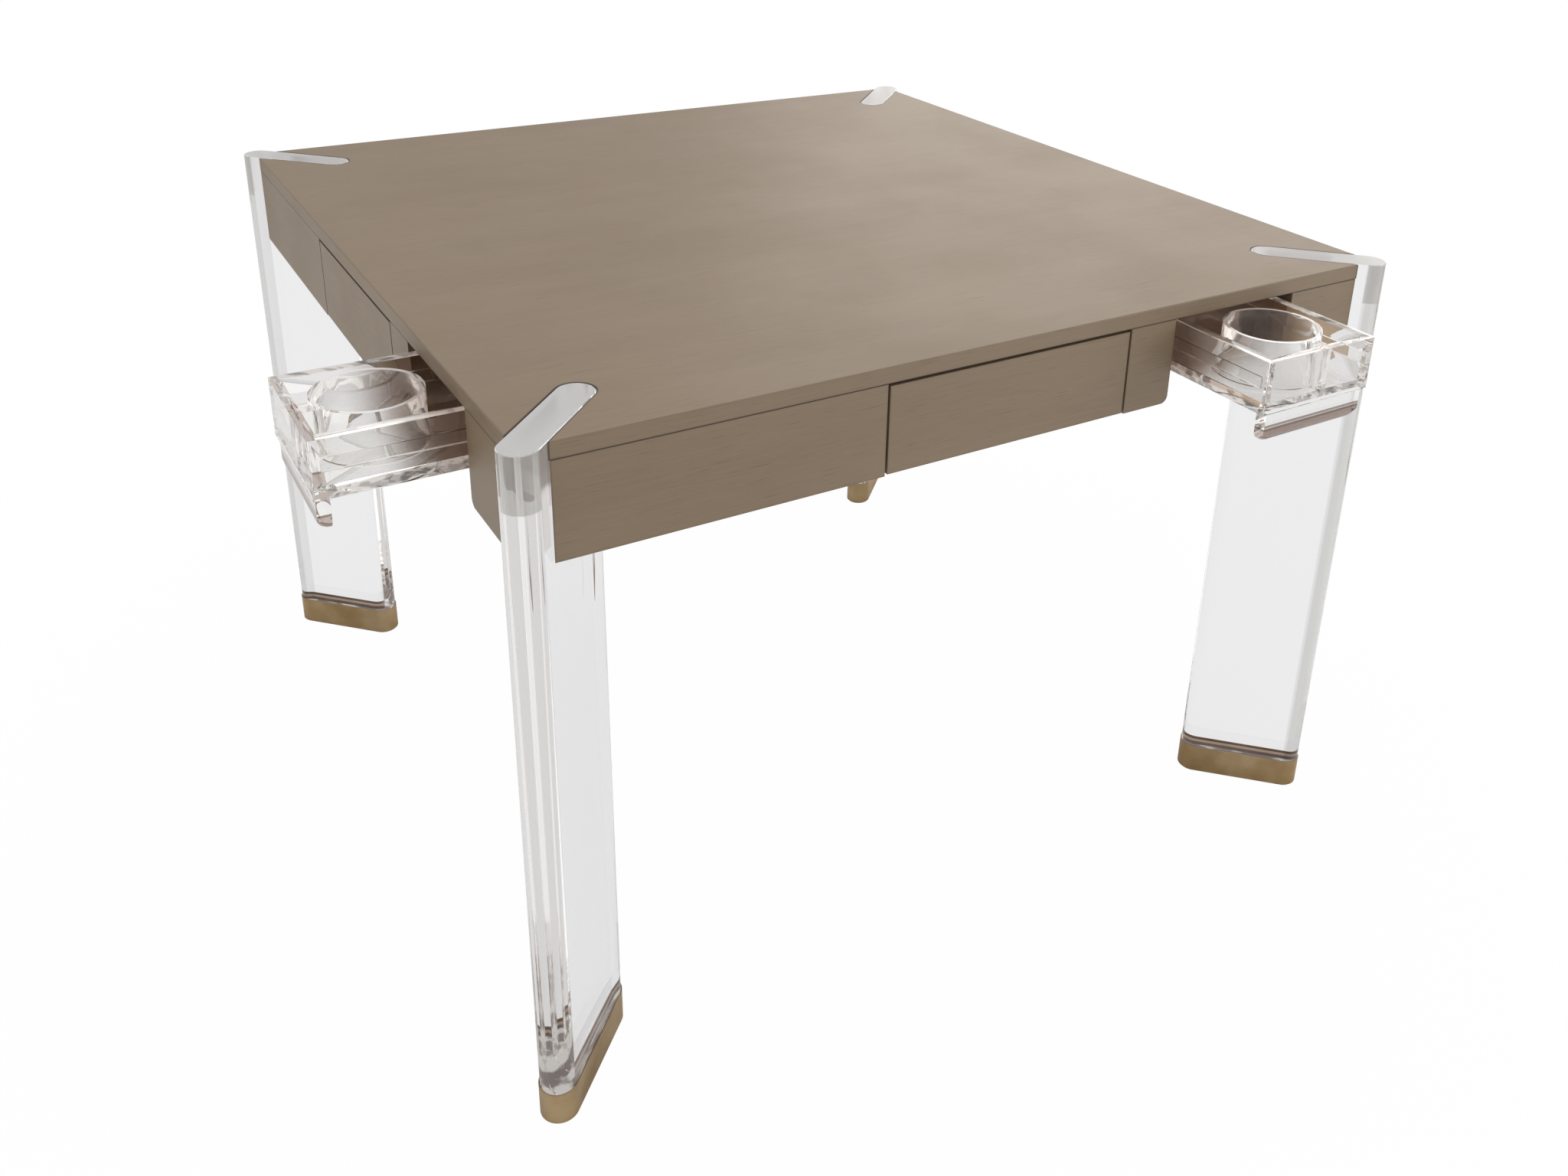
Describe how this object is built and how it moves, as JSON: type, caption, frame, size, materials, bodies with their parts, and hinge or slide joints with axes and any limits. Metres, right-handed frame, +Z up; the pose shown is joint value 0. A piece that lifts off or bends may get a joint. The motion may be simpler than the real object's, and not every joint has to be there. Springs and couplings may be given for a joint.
{
  "type": "games table",
  "caption": "Square tile-game table with clear slab legs let up through the corners of the top, and on each side a drawer and a clear pull-out drink tray with a cup ring.",
  "frame": {"origin": "on the floor, at the middle of the bounding box as stored, with the front and left trays pulled out", "axes": "+Z up; -Y out of the front side and -X out of the left side, the two sides whose trays are out"},
  "size_m": [1.221, 1.2114, 0.762],
  "materials": {
    "veneered_wood": "satin lacquer over fine straight-grained taupe veneer",
    "inner_wood": "dark stained and sealed",
    "clear_acrylic": "polished clear acrylic",
    "bronze_metal": "satin champagne bronze",
    "glide_plastic": "matte black",
    "screw_steel": "zinc plated"
  },
  "bodies": {
    "table": {"tabletop": "veneered_wood", "long_panel_front": "veneered_wood", "narrow_panel_front": "veneered_wood", "end_panel_front": "veneered_wood", "drawer_guides_front": "inner_wood", "tray_guides_front": "inner_wood", "long_panel_right": "veneered_wood", "narrow_panel_right": "veneered_wood", "end_panel_right": "veneered_wood", "drawer_guides_right": "inner_wood", "tray_guides_right": "inner_wood", "long_panel_back": "veneered_wood", "narrow_panel_back": "veneered_wood", "end_panel_back": "veneered_wood", "drawer_guides_back": "inner_wood", "tray_guides_back": "inner_wood", "long_panel_left": "veneered_wood", "narrow_panel_left": "veneered_wood", "end_panel_left": "veneered_wood", "drawer_guides_left": "inner_wood", "tray_guides_left": "inner_wood", "leg_front_left": "clear_acrylic", "foot_cap_front_left": "bronze_metal", "leg_blocks_front_left": "inner_wood", "leg_front_right": "clear_acrylic", "foot_cap_front_right": "bronze_metal", "leg_blocks_front_right": "inner_wood", "leg_back_right": "clear_acrylic", "foot_cap_back_right": "bronze_metal", "leg_blocks_back_right": "inner_wood", "leg_back_left": "clear_acrylic", "foot_cap_back_left": "bronze_metal", "leg_blocks_back_left": "inner_wood", "centre_frame": "inner_wood", "floor_glides": "glide_plastic", "leg_block_screws": "screw_steel"},
    "drawer_front": {"drawer_front_front": "veneered_wood", "drawer_box_front": "inner_wood"},
    "tray_front": {"tray_front_front": "clear_acrylic", "tray_box_front": "clear_acrylic", "tray_ring_front": "clear_acrylic", "tray_lip_front": "clear_acrylic"},
    "drawer_right": {"drawer_front_right": "veneered_wood", "drawer_box_right": "inner_wood"},
    "tray_right": {"tray_front_right": "clear_acrylic", "tray_box_right": "clear_acrylic", "tray_ring_right": "clear_acrylic", "tray_lip_right": "clear_acrylic"},
    "drawer_back": {"drawer_front_back": "veneered_wood", "drawer_box_back": "inner_wood"},
    "tray_back": {"tray_front_back": "clear_acrylic", "tray_box_back": "clear_acrylic", "tray_ring_back": "clear_acrylic", "tray_lip_back": "clear_acrylic"},
    "drawer_left": {"drawer_front_left": "veneered_wood", "drawer_box_left": "inner_wood"},
    "tray_left": {"tray_front_left": "clear_acrylic", "tray_box_left": "clear_acrylic", "tray_ring_left": "clear_acrylic", "tray_lip_left": "clear_acrylic"}
  },
  "joints": [
    {"name": "drawer_front_slide", "type": "slide", "parent": "table", "child": "drawer_front", "axis": [0, -1, 0], "range_m": [0, 0.2348]},
    {"name": "tray_front_slide", "type": "slide", "parent": "table", "child": "tray_front", "axis": [0, -1, 0], "range_m": [-0.12795, 0.02205]},
    {"name": "drawer_right_slide", "type": "slide", "parent": "table", "child": "drawer_right", "axis": [1, 0, 0], "range_m": [0, 0.2348]},
    {"name": "tray_right_slide", "type": "slide", "parent": "table", "child": "tray_right", "axis": [1, 0, 0], "range_m": [0, 0.15]},
    {"name": "drawer_back_slide", "type": "slide", "parent": "table", "child": "drawer_back", "axis": [0, 1, 0], "range_m": [0, 0.2348]},
    {"name": "tray_back_slide", "type": "slide", "parent": "table", "child": "tray_back", "axis": [0, 1, 0], "range_m": [0, 0.15]},
    {"name": "drawer_left_slide", "type": "slide", "parent": "table", "child": "drawer_left", "axis": [-1, 0, 0], "range_m": [0, 0.2348]},
    {"name": "tray_left_slide", "type": "slide", "parent": "table", "child": "tray_left", "axis": [-1, 0, 0], "range_m": [-0.13755, 0.01245]}
  ]
}
